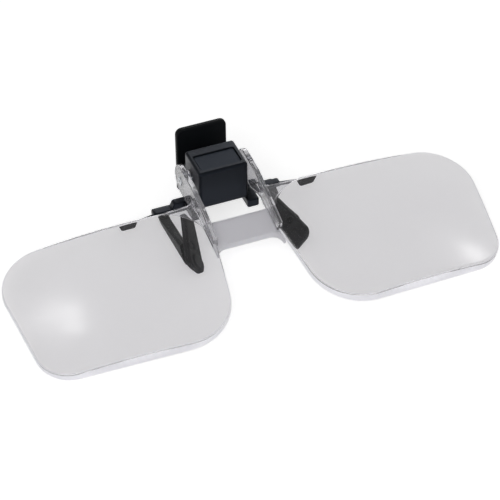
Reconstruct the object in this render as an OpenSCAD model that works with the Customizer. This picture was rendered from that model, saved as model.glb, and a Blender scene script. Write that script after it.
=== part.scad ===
// Clip-on, flip-up binocular magnifier for spectacles, lying on a table with its lenses down in use.
// X runs from left to right, Y towards the back and Z up, in millimetres. The table is at Z = 0,
// and the middle of the object's box is at X = 0 and Y = 0.

/* [Lenses] */
// Slope of the lens plate down towards the front, in degrees
lens_tilt = 13.9; // [11:0.1:16]
// Angle by which each lens wraps back at its outer side, in degrees
lens_wrap = 3.9; // [2.5:0.1:5]
// Thickness of a lens at its thickest place
lens_thickness = 4; // [3.9:0.1:5]
// Distance of that place below the middle of the lens
lens_decentre = 5.5; // [3:0.1:6]
// Radius of the convex front of a lens
lens_radius = 146; // [125:1:200]
// Distance between the sharp inner top corners of the two lenses
lens_gap = 12; // [10:0.1:13]
// Width of a lens along its top edge, between sharp corners
lens_top_w = 55; // [48:0.5:60]
// Width of a lens along its bottom edge, between sharp corners
lens_bottom_w = 45.7; // [40:0.1:50]
// Height of a lens along its inner side
lens_inner_h = 39.1; // [34:0.1:42]
// Height of a lens along its outer side
lens_outer_h = 36.8; // [32:0.1:40]
// How far the inner side leans outwards from top to bottom
lens_lean = 5.6; // [3:0.1:7]
// Height of a lens above the top edge of the bridge, along the plate
lens_rise = 6.1; // [5:0.1:7.5]
// Radius of the inner top corner
corner_top_in = 11.5; // [9:0.1:12.5]
// Radius of the outer top corner
corner_top_out = 11.5; // [8:0.1:14]
// Radius of the outer bottom corner
corner_bottom_out = 8.6; // [6:0.1:12]
// Radius of the inner bottom corner
corner_bottom_in = 13; // [9:0.1:15]

/* [Bridge and arms] */
// Width of the bridge from its top edge to its bottom edge
bridge_h = 7.2; // [6:0.1:9]
// Thickness of the bridge
bridge_t = 2; // [1.6:0.1:2.6]
// Distance of the bridge's top edge in front of the flip axis
bridge_reach = 15; // [14.5:0.1:17]
// Radius of the fillets between the bridge and the lenses
bridge_fillet = 2.6; // [1.5:0.1:3.5]
// Thickness of an arm
arm_t = 1.3; // [1:0.1:1.8]
// Radius of the round head of an arm
head_r = 3.9; // [3.5:0.1:4.2]
// Height of an arm's top edge above the back of the lens plate
arm_top = 3; // [2.4:0.1:3.6]
// Radius of the boss on the inside of an arm's head
boss_r = 2.1; // [1.8:0.1:2.6]
// Radius of the fillet between an arm and the web beside the lens's round corner
web_r = 2; // [1.5:0.1:3]
// Thickness of that web
web_t = 0.8; // [0.7:0.1:1.1]

/* [Hinge block] */
// Width of the block
block_w = 12.5; // [12:0.1:14]
// Depth of the block from front to back
block_d = 10.1; // [9.6:0.1:11]
// Height of the block
block_h = 10.6; // [10.4:0.1:12]
// Height of the block's underside over the table
block_z = 7.8; // [7.6:0.1:8.4]
// Radius of the block's edges
block_round = 0.7; // [0.4:0.1:1]
// Thickness of the block's side walls
wall = 1.4; // [1.2:0.1:1.8]
// Thickness of the block's roof
roof = 2.2; // [2:0.1:2.4]
// Width of the cover panel in the block's top
panel_w = 10.2; // [8:0.1:10.6]
// Depth of the cover panel from front to back
panel_d = 5.6; // [4:0.1:6]
// Distance of the cover panel from the block's front face
panel_inset = 1.6; // [1.2:0.1:2.2]
// Thickness of the cover panel
panel_t = 0.6; // [0.5:0.1:0.7]
// Depth of the panel's face below the block's top
panel_sink = 0.3; // [0.2:0.1:0.4]

/* [Flip hinge] */
// Distance of the flip axis behind the block's front face
flip_back = 6.5; // [6.2:0.1:6.6]
// Height of the flip axis above the block's underside
flip_up = 4.9; // [4.8:0.1:5.2]
// Radius of the flip axle
axle_r = 1.2; // [1:0.1:1.3]
// Radius of the friction barrel on the axle
barrel_r = 2; // [1.7:0.1:2.1]
// Length of the friction barrel
barrel_w = 3.6; // [3:0.1:3.8]
// Thickness of the leaf spring that presses on the barrel
leaf_t = 0.3; // [0.2:0.05:0.4]
// Width of the leaf spring
leaf_w = 3.4; // [3:0.1:3.8]

/* [Front bar] */
// Height of the bar from its underside to the block
bar_h = 3.2; // [2.8:0.1:3.3]
// Thickness of the bar from front to back
bar_t = 2; // [1.6:0.1:2.1]
// Distance of the bar's front behind the block's front
bar_back = 4.4; // [4:0.1:4.5]
// Half length of the bar's raised middle
bar_mid = 11.7; // [10.5:0.1:12.3]
// Half length of the bar's flat ends
bar_end = 16.4; // [16:0.1:17.5]
// Thickness of the bar's flat ends
bar_end_t = 1.6; // [1.3:0.1:1.8]
// Half distance between the middles of the prong tips
prong_x = 23.6; // [22:0.1:26]
// Radius of the prongs' wires
prong_r = 0.6; // [0.5:0.05:0.7]
// How far the prong tips lie in front of the bar's ends
prong_toe = 1.4; // [0.6:0.1:1.8]
// Height of a prong tip
tip_h = 3.6; // [3:0.1:4]
// Width of a prong tip along its top
tip_w = 5.6; // [5:0.1:6]
// Thickness of a prong tip from front to back
tip_t = 1.7; // [1.5:0.1:2.2]
// Width of a foot beside the block's underside
foot_w = 3; // [2.6:0.1:3.1]
// Distance from the middle to a foot's inner face
foot_x = 5.6; // [5.4:0.1:5.7]
// Height of a foot
foot_h = 2.2; // [1.8:0.1:2.4]
// Distance by which a foot stands out in front of the block
foot_out = 1; // [0.6:0.1:1.4]

/* [Rear jaw] */
// Width of the thumb lever
lever_w = 12.9; // [11:0.1:14]
// Thickness of the thumb lever
lever_t = 1.4; // [1.2:0.1:1.8]
// Height of the thumb lever's top over the block's top
lever_up = 2.4; // [1:0.1:3]
// Radius of the thumb lever's top corners
lever_round = 1.6; // [1:0.1:2.5]
// Distance of the lever's front face behind the block
lever_gap = 4.8; // [4.6:0.1:5.2]
// Distance of the jaw pin behind the block
pin_back = 2.3; // [2.25:0.05:2.45]
// Height of the jaw pin above the block's underside
pin_up = 2.4; // [2.2:0.1:3]
// Radius of the jaw pin
pin_r = 0.8; // [0.7:0.05:0.9]
// Radius of the lugs round the jaw pin
lug_r = 1.9; // [1.7:0.1:2]
// Thickness of the jaw's floor and wing
floor_t = 1.6; // [1.3:0.1:1.7]
// Height of the jaw's floor over the table
floor_z = 2.6; // [2.4:0.1:2.7]
// Distance from the middle to the middle of a brace
brace_x = 14.5; // [13.9:0.1:15]
// Width of a brace
brace_w = 2.4; // [2:0.1:2.8]
// Thickness of a brace
brace_t = 1.6; // [1.3:0.1:1.8]
// Height of a brace's elbow over the table, at its middle
elbow_z = 1.5; // [1.3:0.1:1.7]

/* [Pads] */
// Distance from the middle to the middle of a pad's inner face
pad_x = 12.7; // [12.6:0.1:13.2]
// Height of the middle of a pad's inner face over the table
pad_z = 6; // [5.9:0.1:6.4]
// Distance of a pad's middle in front of the block's front face
pad_front = 10.6; // [10:0.1:11.4]
// Angle by which a pad turns outwards towards its front, in degrees
pad_splay = 13.6; // [11:0.1:15]
// Slope of a pad down towards its front, in degrees
pad_drop = 16.3; // [14:0.1:18]
// Angle by which a pad leans outwards at its top, in degrees
pad_cant = 28.5; // [26:0.1:31]
// Length of a pad
pad_l = 16.4; // [15:0.1:17]
// Height of a pad at its front
pad_h = 6.3; // [5.8:0.1:6.5]
// Height of a pad at its root
pad_root_h = 3.9; // [3.4:0.1:4.1]
// Thickness of a pad
pad_t = 1.6; // [1.4:0.1:2]
// Radius of the stud that holds a pad
stud_r = 0.9; // [0.7:0.05:1.1]

/* [Jaw spring] */
// Diameter of the spring's wire
wire_d = 0.45; // [0.35:0.05:0.5]
// Distance from the jaw pin's axis to the middle of the wire
coil_r = 1.3; // [1.2:0.05:1.35]
// Length of the coil along the pin
coil_w = 2.6; // [2.4:0.1:2.8]

/* [Hidden] */
$fn = 48;

// Clearances: a shaft turning in its hole, parts that move past each other, and loose fits
running_gap = 0.05;
moving_gap = 0.4;
loose_gap = 0.1;
// A cut reaches this far past the face that it opens
past = 1;
hair = 0.02;

// Corners of the right lens on the plate: X across, Y up the plate from the bridge's top edge
top_in = [lens_gap / 2, lens_rise];
top_out = [lens_gap / 2 + lens_top_w, lens_rise + 0.4];
bottom_in = [lens_gap / 2 + lens_lean, lens_rise - lens_inner_h];
bottom_out = bottom_in + [lens_bottom_w, top_out[1] - lens_outer_h - bottom_in[1]];
lens_mid = (top_in + top_out + bottom_in + bottom_out) / 4;
lens_corners = [top_in, top_out, bottom_out, bottom_in];
corner_radii = [corner_top_in, corner_top_out, corner_bottom_out, corner_bottom_in];

function unit(v) = v / norm(v);
function half_angle(a, b, c) = acos(unit(a - b) * unit(c - b)) / 2;
function arc_middle(a, b, c, r) = b + unit(unit(a - b) + unit(c - b)) * r / sin(half_angle(a, b, c));
function arc_start(a, b, c, r) = b + unit(a - b) * r / tan(half_angle(a, b, c));
// The same point moved in by a hair, so that the straight side and the arc cross instead of only touching
function arc_join(a, b, c, r) = let (start = arc_start(a, b, c, r))
    start + unit(arc_middle(a, b, c, r) - start) * hair;
function before(i) = lens_corners[(i + 3) % 4];
function after(i) = lens_corners[(i + 1) % 4];

// The lens plate stands on its outer bottom corners: fall is the change of height across and up the plate
fall = [-sin(lens_wrap) * cos(lens_tilt), sin(lens_tilt)];
corner_middle = arc_middle(before(2), bottom_out, after(2), corner_bottom_out);
plate_z = corner_bottom_out * norm(fall) - corner_middle * fall;

// Places from the back of the thumb lever, which is the rearmost face
block_y = 12.4;
block_back = block_y + block_d;
block_top = block_z + block_h;
flip_y = block_y + flip_back;
flip_z = block_z + flip_up;
plate_y = flip_y - bridge_reach;
pin_y = block_back + pin_back;
pin_z = block_z + pin_up;
lever_y = block_back + lever_gap;
lever_top = block_top + lever_up;

// Flip axis seen on the plate: distance up the plate and height off its back
head_v = bridge_reach * cos(lens_tilt) + (flip_z - plate_z) * sin(lens_tilt);
head_n = (flip_z - plate_z) * cos(lens_tilt) - bridge_reach * sin(lens_tilt);
boss_w = 1.15;
arm_x = block_w / 2 + loose_gap + boss_w;
bridge_low = -2.3;
web_low = 0.1;
web_lap = 0.6;
fillet_out = 0.7;

inner_w = block_w - 2 * wall;
inner_d = block_d - 2 * wall;
roof_z = block_top - roof;
plug_t = 1.5;
screw_x = 3.4;
screw_y = block_y + 2.9;
screw_r = 0.6;
screw_head_r = 1.2;
screw_head_t = 0.7;
screw_post_r = 1.4;
screw_l = 4.4;
barrel_top = flip_z + barrel_r;
leaf_z = barrel_top + running_gap;
leaf_l = inner_d - 2 * loose_gap;

bar_y = block_y + bar_back;
bar_z = block_z - bar_h;
wire_z = bar_z + prong_r;
wire_y = bar_y + 0.7;
tip_y = wire_y - prong_toe;
tip_socket = 2.4;
foot_top = block_z - 0.2;

floor_w = 10.4;
wing_y = bar_y + bar_t + moving_gap;
wing_d = 2.2;
jaw_lug_in = coil_w / 2 + wire_d / 2 + 0.35;
lug_t = 1.5;
block_lug_in = jaw_lug_in + lug_t + 0.3;
elbow_y = bar_y - 1;
seat_r = 1.3;
seat_t = 1.2;
seat_reach = 3.2;
seat_drop = 0.7;
stud_l = 1.3;
pad_y = block_y - pad_front;

module both_sides() {
    children();
    mirror([1, 0, 0]) children();
}

module on_plate() {
    translate([0, plate_y, plate_z]) rotate([lens_tilt, 0, 0]) children();
}

// A bar along X, from x on, with its round profile's middle at y and z
module rod(r, x, length, y, z) {
    translate([x, y, z]) rotate([0, 90, 0]) cylinder(r = r, h = length);
}

module rounded_rect(size, r) {
    translate([r, 0]) square([size[0] - 2 * r, size[1]]);
    translate([0, r]) square([size[0], size[1] - 2 * r]);
    for (x = [r, size[0] - r], y = [r, size[1] - r]) translate([x, y]) circle(r = r);
}

// A box with every edge rounded, from its lowest corner
module rounded_box(size, r) {
    intersection() {
        linear_extrude(height = size[2]) rounded_rect([size[0], size[1]], r);
        translate([0, size[1], 0]) rotate([90, 0, 0])
            linear_extrude(height = size[1]) rounded_rect([size[0], size[2]], r);
        rotate([90, 0, 90]) linear_extrude(height = size[0]) rounded_rect([size[1], size[2]], r);
    }
}

// The right lens before its front is cut: straight sides and round corners
module lens_blank() {
    linear_extrude(height = lens_thickness)
        polygon([for (i = [0:3], start = [true, false])
            let (a = before(i), b = lens_corners[i], c = after(i), r = corner_radii[i])
            start ? arc_join(a, b, c, r) : arc_join(c, b, a, r)]);
    for (i = [0:3])
        translate(arc_middle(before(i), lens_corners[i], after(i), corner_radii[i]))
            cylinder(r = corner_radii[i], h = lens_thickness);
}

// The right lens: flat at the back, with a convex front
module lens() {
    rotate([0, lens_wrap, 0]) intersection() {
        lens_blank();
        translate([lens_mid[0], lens_mid[1] - lens_decentre, lens_thickness - lens_radius])
            sphere(r = lens_radius, $fn = 360);
    }
}

// The right arm: a strap on edge from its round head at the axle to the bottom of the bridge
module arm() {
    translate([arm_x, 0, 0]) rotate([90, 0, 90]) linear_extrude(height = arm_t) {
        translate([head_v, head_n]) circle(r = head_r);
        polygon([[head_v, head_n + head_r], [0, arm_top], [-bridge_h, arm_top - 0.8], [-bridge_h, bridge_low],
            [5, -0.8], [head_v - 5, head_n - head_r * 0.78], [head_v - 1.3, head_n - head_r * 0.94]]);
    }
    rod(boss_r, arm_x - boss_w, boss_w + arm_t / 2, head_v, head_n);
}

// The thin web that fills the corner between the right arm and the round corner of the lens
module arm_web() {
    web_x = arm_x + arm_t;
    root = web_x - arm_t / 2;
    rotate([0, lens_wrap, 0]) translate([0, 0, web_low]) linear_extrude(height = web_t) {
        difference() {
            translate([root, lens_rise - corner_top_in]) square(corner_top_in);
            translate(arc_middle(before(0), lens_corners[0], after(0), corner_top_in))
                circle(r = corner_top_in - web_lap);
        }
        difference() {
            translate([root, lens_rise - past]) square([web_r + arm_t / 2, web_r + past]);
            translate([web_x + web_r, lens_rise + web_r]) circle(r = web_r);
        }
    }
}

module bridge() {
    half = arm_x + arm_t;
    fillet_x = arm_x + fillet_out;
    translate([-half, -bridge_h, bridge_low]) cube([2 * half, bridge_h, bridge_t]);
    both_sides() translate([0, 0, bridge_low]) linear_extrude(height = bridge_t) difference() {
        translate([fillet_x - bridge_fillet, -bridge_h - bridge_fillet])
            square([bridge_fillet + half - fillet_x, bridge_fillet + 0.5]);
        translate([fillet_x - bridge_fillet, -bridge_h - bridge_fillet]) circle(r = bridge_fillet);
    }
}

module lens_moulding() {
    color([0.85, 0.88, 0.9, 0.4]) difference() {
        on_plate() {
            both_sides() {
                lens();
                arm();
                arm_web();
            }
            bridge();
        }
        rod(axle_r, -arm_x - arm_t - past, 2 * (arm_x + arm_t + past), flip_y, flip_z);
    }
}

// Profile of a lug round the jaw pin, as a block from z to the pin with a round end
module lug(x, width, y, z, depth, height) {
    rod(lug_r, x, width, pin_y, pin_z);
    translate([x, y, z]) cube([width, depth, height]);
}

module hinge_block() {
    color("#26292c") difference() {
        union() {
            difference() {
                translate([-block_w / 2, block_y, block_z])
                    rounded_box([block_w, block_d, block_h], block_round);
                translate([-inner_w / 2, block_y + wall, block_z - past])
                    cube([inner_w, inner_d, roof_z - block_z + past]);
            }
            both_sides() {
                lug(block_lug_in, lug_t, block_back - wall / 2, pin_z - lug_r, pin_back + wall / 2,
                    2 * lug_r);
                translate([screw_x, screw_y, block_z + plug_t])
                    cylinder(r = screw_post_r, h = roof_z - block_z - plug_t);
            }
            // two ribs under the roof, which the leaf spring's ends press on
            for (y = [block_y + wall, block_back - wall - 1])
                translate([-leaf_w / 2, y, leaf_z + leaf_t]) cube([leaf_w, 1, roof_z - leaf_z - leaf_t]);
        }
        translate([-panel_w / 2 - loose_gap, block_y + panel_inset - loose_gap,
            block_top - panel_sink - panel_t])
            cube([panel_w + 2 * loose_gap, panel_d + 2 * loose_gap, panel_t + panel_sink + past]);
        rod(axle_r + running_gap, -block_w / 2 - past, block_w + 2 * past, flip_y, flip_z);
        rod(pin_r, -block_w / 2, block_w, pin_y, pin_z);
        both_sides() translate([screw_x, screw_y, block_z]) cylinder(r = screw_r, h = screw_l);
    }
}

module cover_panel() {
    color("#2f353b") translate([-panel_w / 2, block_y + panel_inset, block_top - panel_sink - panel_t])
        linear_extrude(height = panel_t) rounded_rect([panel_w, panel_d], 0.5);
}

module flip_axle() {
    color("#8d9094") rod(axle_r, -arm_x - arm_t - 0.2, 2 * (arm_x + arm_t + 0.2), flip_y, flip_z);
}

module friction_barrel() {
    color("#d8d6cc") difference() {
        rod(barrel_r, -barrel_w / 2, barrel_w, flip_y, flip_z);
        rod(axle_r, -barrel_w / 2 - past, barrel_w + 2 * past, flip_y, flip_z);
    }
}

module leaf_spring() {
    color("silver") translate([-leaf_w / 2, block_y + wall + loose_gap, leaf_z])
        cube([leaf_w, leaf_l, leaf_t]);
}

// The right prong's wire, which slants forward from inside the bar's end to inside the tip
module prong_wire(r) {
    start = bar_end - 0.8;
    run = prong_x - start;
    translate([start, wire_y, wire_z]) rotate([0, 0, -atan(prong_toe / run)]) rotate([0, 90, 0])
        cylinder(r = r, h = run + tip_socket - tip_w / 2);
}

// The black bar under the block, with the plug that closes the block, two feet and two prong wires
module front_bar() {
    color("#202224") difference() {
        union() {
            translate([-inner_w / 2 + loose_gap, block_y + wall + loose_gap, block_z])
                cube([inner_w - 2 * loose_gap, inner_d - 2 * loose_gap, plug_t]);
            translate([-bar_mid, bar_y, bar_z]) cube([2 * bar_mid, bar_t, bar_h]);
            translate([-bar_end, bar_y, bar_z]) cube([2 * bar_end, bar_t, bar_end_t]);
            both_sides() {
                translate([foot_x, block_y - foot_out, foot_top - foot_h])
                    cube([foot_w, foot_out + bar_back + 0.5, foot_h]);
                prong_wire(prong_r);
            }
        }
        both_sides() translate([screw_x, screw_y, block_z - past])
            cylinder(r = screw_r + loose_gap, h = plug_t + 2 * past);
    }
}

module base_screws() {
    color("silver") both_sides() {
        translate([screw_x, screw_y, block_z]) cylinder(r = screw_r, h = screw_l);
        translate([screw_x, screw_y, block_z - screw_head_t]) cylinder(r = screw_head_r, h = screw_head_t);
    }
}

// A rubber tip on the right prong, pointing down
module prong_tip() {
    top = wire_z + prong_r + 0.2;
    color("#1b1b1b") difference() {
        translate([prong_x, tip_y + tip_t / 2, top]) rotate([90, 0, 0]) linear_extrude(height = tip_t)
            polygon([[-tip_w / 2, 0], [tip_w / 2, 0], [tip_w / 2 - 0.25, -0.7], [tip_w / 2 - 1.2, -tip_h],
                [-tip_w / 2 + 1.2, -tip_h], [-tip_w / 2 + 0.25, -0.7]]);
        prong_wire(prong_r);
    }
}

module prong_tip_left() {
    mirror([1, 0, 0]) prong_tip();
}

module prong_tip_right() {
    prong_tip();
}

// Places the right pad's own frame: X out of its outer face, Y back along it and Z up it
module on_pad() {
    translate([pad_x, pad_y, pad_z]) rotate([0, 0, pad_splay]) rotate([pad_drop, 0, 0])
        rotate([0, pad_cant, 0]) children();
}

// The brace from the end of the jaw's wing, down round the elbow and forward to the back of the pad
module brace() {
    x = brace_x - brace_w / 2;
    r = brace_t / 2;
    hull() {
        rod(r, x, brace_w, wing_y + wing_d - r, floor_z + r, $fn = 24);
        rod(r, x, brace_w, elbow_y, elbow_z, $fn = 24);
    }
    hull() {
        rod(r, x, brace_w, elbow_y, elbow_z, $fn = 24);
        on_pad() for (place = [[0, 0], [-seat_reach, -seat_drop]])
            translate([pad_t, place[0], place[1]]) rotate([0, 90, 0])
                cylinder(r = seat_r, h = seat_t, $fn = 24);
    }
}

// The moving jaw in one piece: thumb lever, floor, hinge lugs, wing, braces and the studs of the pads
module rear_jaw() {
    color("#1d1f21") difference() {
        union() {
            translate([0, lever_y + lever_t, 0]) rotate([90, 0, 0]) linear_extrude(height = lever_t) {
                translate([-lever_w / 2, floor_z]) square([lever_w, lever_top - floor_z - lever_round]);
                translate([-lever_w / 2 + lever_round, floor_z])
                    square([lever_w - 2 * lever_round, lever_top - floor_z]);
                for (side = [-1, 1]) translate([side * (lever_w / 2 - lever_round), lever_top - lever_round])
                    circle(r = lever_round);
            }
            translate([-floor_w / 2, wing_y, floor_z])
                cube([floor_w, lever_y + lever_t / 2 - wing_y, floor_t]);
            translate([-brace_x - brace_w / 2, wing_y, floor_z])
                cube([2 * brace_x + brace_w, wing_d, floor_t]);
            both_sides() {
                lug(jaw_lug_in, lug_t, pin_y - lug_r, floor_z, 2 * lug_r, pin_z - floor_z);
                brace();
                on_pad() translate([pad_t - stud_l, 0, 0]) rotate([0, 90, 0])
                    cylinder(r = stud_r, h = stud_l + seat_t);
            }
        }
        rod(pin_r + running_gap, -block_w / 2, block_w, pin_y, pin_z);
    }
}

module jaw_pin() {
    color("silver") rod(pin_r, -block_lug_in - lug_t, 2 * (block_lug_in + lug_t), pin_y, pin_z);
}

// The torsion spring's path: down the front leg, two and a half turns round the pin and up the back leg
leg_l = 3.8;
front_leg = [-coil_w / 2, block_back + wire_d / 2 + running_gap, pin_z + leg_l];
back_leg = [coil_w / 2, lever_y - wire_d / 2 - running_gap, pin_z + leg_l];
turn_steps = 16;
turns = 2.5;
spring_path = concat([front_leg], [for (i = [0:turns * turn_steps]) let (a = 180 + 360 * i / turn_steps)
    [coil_w * (i / turns / turn_steps - 0.5), pin_y + coil_r * cos(a), pin_z + coil_r * sin(a)]], [back_leg]);
least_gap = min([for (i = [0:len(spring_path) - 1], j = [0:len(spring_path) - 1]) if (j - i > turn_steps / 2)
    norm(spring_path[j] - spring_path[i])]) - wire_d;
echo(least_gap_of_the_spring_to_itself = least_gap);

// A closed tube of six sides along a path that turns mostly about X, as one polyhedron
module tube(path, r) {
    n = len(path);
    sides = 6;
    points = [for (i = [0:n - 1]) let (t = unit(path[min(i + 1, n - 1)] - path[max(i - 1, 0)]),
        u = unit(cross(t, cross([1, 0, 0], t))), w = cross(t, u))
        for (k = [0:sides - 1]) path[i] + r * (u * cos(360 * k / sides) + w * sin(360 * k / sides))];
    walls = [for (i = [0:n - 2], k = [0:sides - 1]) let (a = i * sides + k, b = i * sides + (k + 1) % sides)
        each [[a, a + sides, b], [b, a + sides, b + sides]]];
    last = (n - 1) * sides;
    ends = [for (k = [1:sides - 2]) each [[0, k, k + 1], [last, last + k + 1, last + k]]];
    polyhedron(points = points, faces = concat(walls, ends));
}

module jaw_spring() {
    color("silver") tube(spring_path, wire_d / 2);
}

// The right pad: a soft plate, taller at its round front end, with a hole for its stud
module pad() {
    front = 0.39 * pad_l;
    back = pad_l - front;
    top = pad_h / 3;
    root_top = 0.22 * pad_root_h;
    color("#222426") difference() {
        on_pad() rotate([90, 0, 90]) linear_extrude(height = pad_t) hull() {
            translate([-front + 2.2, top - 2.2]) circle(r = 2.2, $fn = 32);
            translate([-front + 1.7, top - pad_h + 1.7]) circle(r = 1.7, $fn = 32);
            translate([back - 1, root_top - 1]) circle(r = 1, $fn = 32);
            translate([back - 1, root_top - pad_root_h + 1]) circle(r = 1, $fn = 32);
        }
        on_pad() translate([-past, 0, 0]) rotate([0, 90, 0]) cylinder(r = stud_r, h = pad_t + 2 * past);
    }
}

module pad_left() {
    mirror([1, 0, 0]) pad();
}

module pad_right() {
    pad();
}

lens_moulding();
hinge_block();
cover_panel();
flip_axle();
friction_barrel();
leaf_spring();
front_bar();
base_screws();
prong_tip_left();
prong_tip_right();
rear_jaw();
jaw_pin();
jaw_spring();
pad_left();
pad_right();
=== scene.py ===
"""Studio scene of a clip-on, flip-up binocular magnifier, lying on a white table.

The clear acrylic moulding, the black clip and its rubber parts are built here as detailed meshes over
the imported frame. Sizes are in millimetres and are turned to metres when a mesh is made.
"""

import logging
import math
from dataclasses import dataclass, field
from enum import Enum
from functools import cache
from typing import Iterable, Sequence

import bmesh
import bpy
from mathutils import Matrix, Vector


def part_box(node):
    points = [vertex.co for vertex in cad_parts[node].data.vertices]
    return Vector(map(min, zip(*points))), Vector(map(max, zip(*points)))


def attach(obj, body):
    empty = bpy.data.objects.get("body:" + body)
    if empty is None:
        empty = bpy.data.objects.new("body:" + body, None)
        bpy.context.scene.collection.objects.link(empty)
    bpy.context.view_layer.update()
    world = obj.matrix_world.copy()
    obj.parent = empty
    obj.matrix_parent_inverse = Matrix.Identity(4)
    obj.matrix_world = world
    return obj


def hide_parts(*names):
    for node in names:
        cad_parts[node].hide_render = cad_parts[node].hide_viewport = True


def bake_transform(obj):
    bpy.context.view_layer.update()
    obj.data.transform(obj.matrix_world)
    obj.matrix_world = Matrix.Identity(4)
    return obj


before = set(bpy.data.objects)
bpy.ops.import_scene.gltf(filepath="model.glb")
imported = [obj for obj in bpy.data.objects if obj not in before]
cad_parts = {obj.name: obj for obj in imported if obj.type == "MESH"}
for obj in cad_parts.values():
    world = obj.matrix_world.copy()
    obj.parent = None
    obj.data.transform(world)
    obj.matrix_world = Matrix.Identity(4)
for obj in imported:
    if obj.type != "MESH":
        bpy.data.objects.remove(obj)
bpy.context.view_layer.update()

LOG = logging.getLogger("magnifier")
MM = 0.001
BUMP_DEPTH = 0.05 * MM
# Values of the noise between which a surface's gloss changes
DRIFT_LOW, DRIFT_HIGH = 0.3, 0.7
# Points of a form that are nearer than this in millimetres are one point
WELD = 0.0005

Mesh = bpy.types.Mesh
Tree = bpy.types.NodeTree
Socket = bpy.types.NodeSocket
Point2 = tuple[float, float]
Point3 = tuple[float, float, float]

# Planes that outlines are drawn in: looking down, looking from the right and looking from the front
FLAT = Matrix.Identity(4)
SIDE = Matrix(((0, 0, 1, 0), (1, 0, 0, 0), (0, 1, 0, 0), (0, 0, 0, 1)))
FRONT = Matrix(((1, 0, 0, 0), (0, 0, -1, 0), (0, 1, 0, 0), (0, 0, 0, 1)))


class Body(Enum):
    """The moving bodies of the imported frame."""

    CLIP = "clip"
    LENSES = "lenses"
    JAW = "jaw"


class Slot(Enum):
    """The record's material slots."""

    ACRYLIC = "clear_acrylic"
    PLASTIC = "black_plastic"
    RUBBER = "black_rubber"
    STEEL = "steel"
    ACETAL = "pale_plastic"


def linear_colour(hex_colour: str) -> tuple[float, float, float, float]:
    """Turns an sRGB hex colour into linear values.

    Args:
        hex_colour: six hex digits after a hash sign.

    Returns:
        Linear red, green, blue and an alpha of 1.
    """
    parts = [int(hex_colour[i : i + 2], 16) / 255 for i in (1, 3, 5)]
    linear = [c / 12.92 if c <= 0.04045 else ((c + 0.055) / 1.055) ** 2.4 for c in parts]
    return (linear[0], linear[1], linear[2], 1.0)


def cad_box(node: str) -> tuple[Vector, Vector]:
    """Gives a CAD node's lowest and highest corners in millimetres."""
    low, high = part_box(node)
    return Vector(low) / MM, Vector(high) / MM


def cad_rod(node: str) -> tuple[Vector, float, float]:
    """Measures a CAD rod that lies along X."""
    low, high = cad_box(node)
    return (low + high) / 2, (high.z - low.z) / 2, (high.x - low.x) / 2


def add_node(tree: Tree, kind: str, links: dict | None = None, **settings: object) -> bpy.types.Node:
    """Adds one node with its settings, socket values and incoming links.

    Args:
        tree: the node tree to add to.
        kind: the node's type name.
        links: socket name or number, with the value or the output socket that feeds it.
        settings: attributes of the node itself.

    Returns:
        The new node.
    """
    node = tree.nodes.new(kind)
    for name, value in settings.items():
        setattr(node, name, value)
    for socket, value in (links or {}).items():
        if isinstance(value, Socket):
            tree.links.new(value, node.inputs[socket])
        else:
            node.inputs[socket].default_value = value
    return node


def empty_tree(data: bpy.types.Material | bpy.types.World) -> Tree:
    """Turns on the nodes of a material or world and clears them.

    Args:
        data: the material or world.

    Returns:
        Its empty node tree.
    """
    data.use_nodes = True
    data.node_tree.nodes.clear()
    return data.node_tree


def maths(tree: Tree, operation: str, *values: float | Socket, clamp: bool = False) -> Socket:
    """Adds one step of arithmetic."""
    links = dict(enumerate(values))
    return add_node(tree, "ShaderNodeMath", links, operation=operation, use_clamp=clamp).outputs[0]


def along(tree: Tree, way: Socket, towards: Point3) -> Socket:
    """Measures how far a way goes towards another."""
    links = {0: way, 1: towards}
    return add_node(tree, "ShaderNodeVectorMath", links, operation="DOT_PRODUCT").outputs["Value"]


def noise(tree: Tree, place: Socket, size_mm: float, detail: float) -> Socket:
    """Adds noise."""
    links = {"Vector": place, "Scale": 1 / (size_mm * MM), "Detail": detail}
    return add_node(tree, "ShaderNodeTexNoise", links).outputs["Fac"]


def bump(tree: Tree, height: Socket, strength: float, **under: Socket) -> Socket:
    """Adds relief to a surface."""
    links = {"Height": height, "Strength": strength, "Distance": BUMP_DEPTH, **under}
    return add_node(tree, "ShaderNodeBump", links).outputs["Normal"]


@dataclass(frozen=True)
class Finish:
    """What a surface is made of, and how it is finished."""

    slot: Slot
    name: str
    colour: str
    roughness: float

    def shading(self, tree: Tree, place: Socket) -> dict[str, object]:
        """Gives what differs from one kind of finish to the next."""
        raise NotImplementedError

    @cache
    def material(self) -> bpy.types.Material:
        """Builds the finish as a node material, once.

        Returns:
            The material.
        """
        made = bpy.data.materials.new(self.name)
        tree = empty_tree(made)
        place = add_node(tree, "ShaderNodeTexCoord").outputs["Object"]
        shader = add_node(tree, "ShaderNodeBsdfPrincipled", self.shading(tree, place))
        add_node(tree, "ShaderNodeOutputMaterial", {"Surface": shader.outputs["BSDF"]})
        return made


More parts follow.
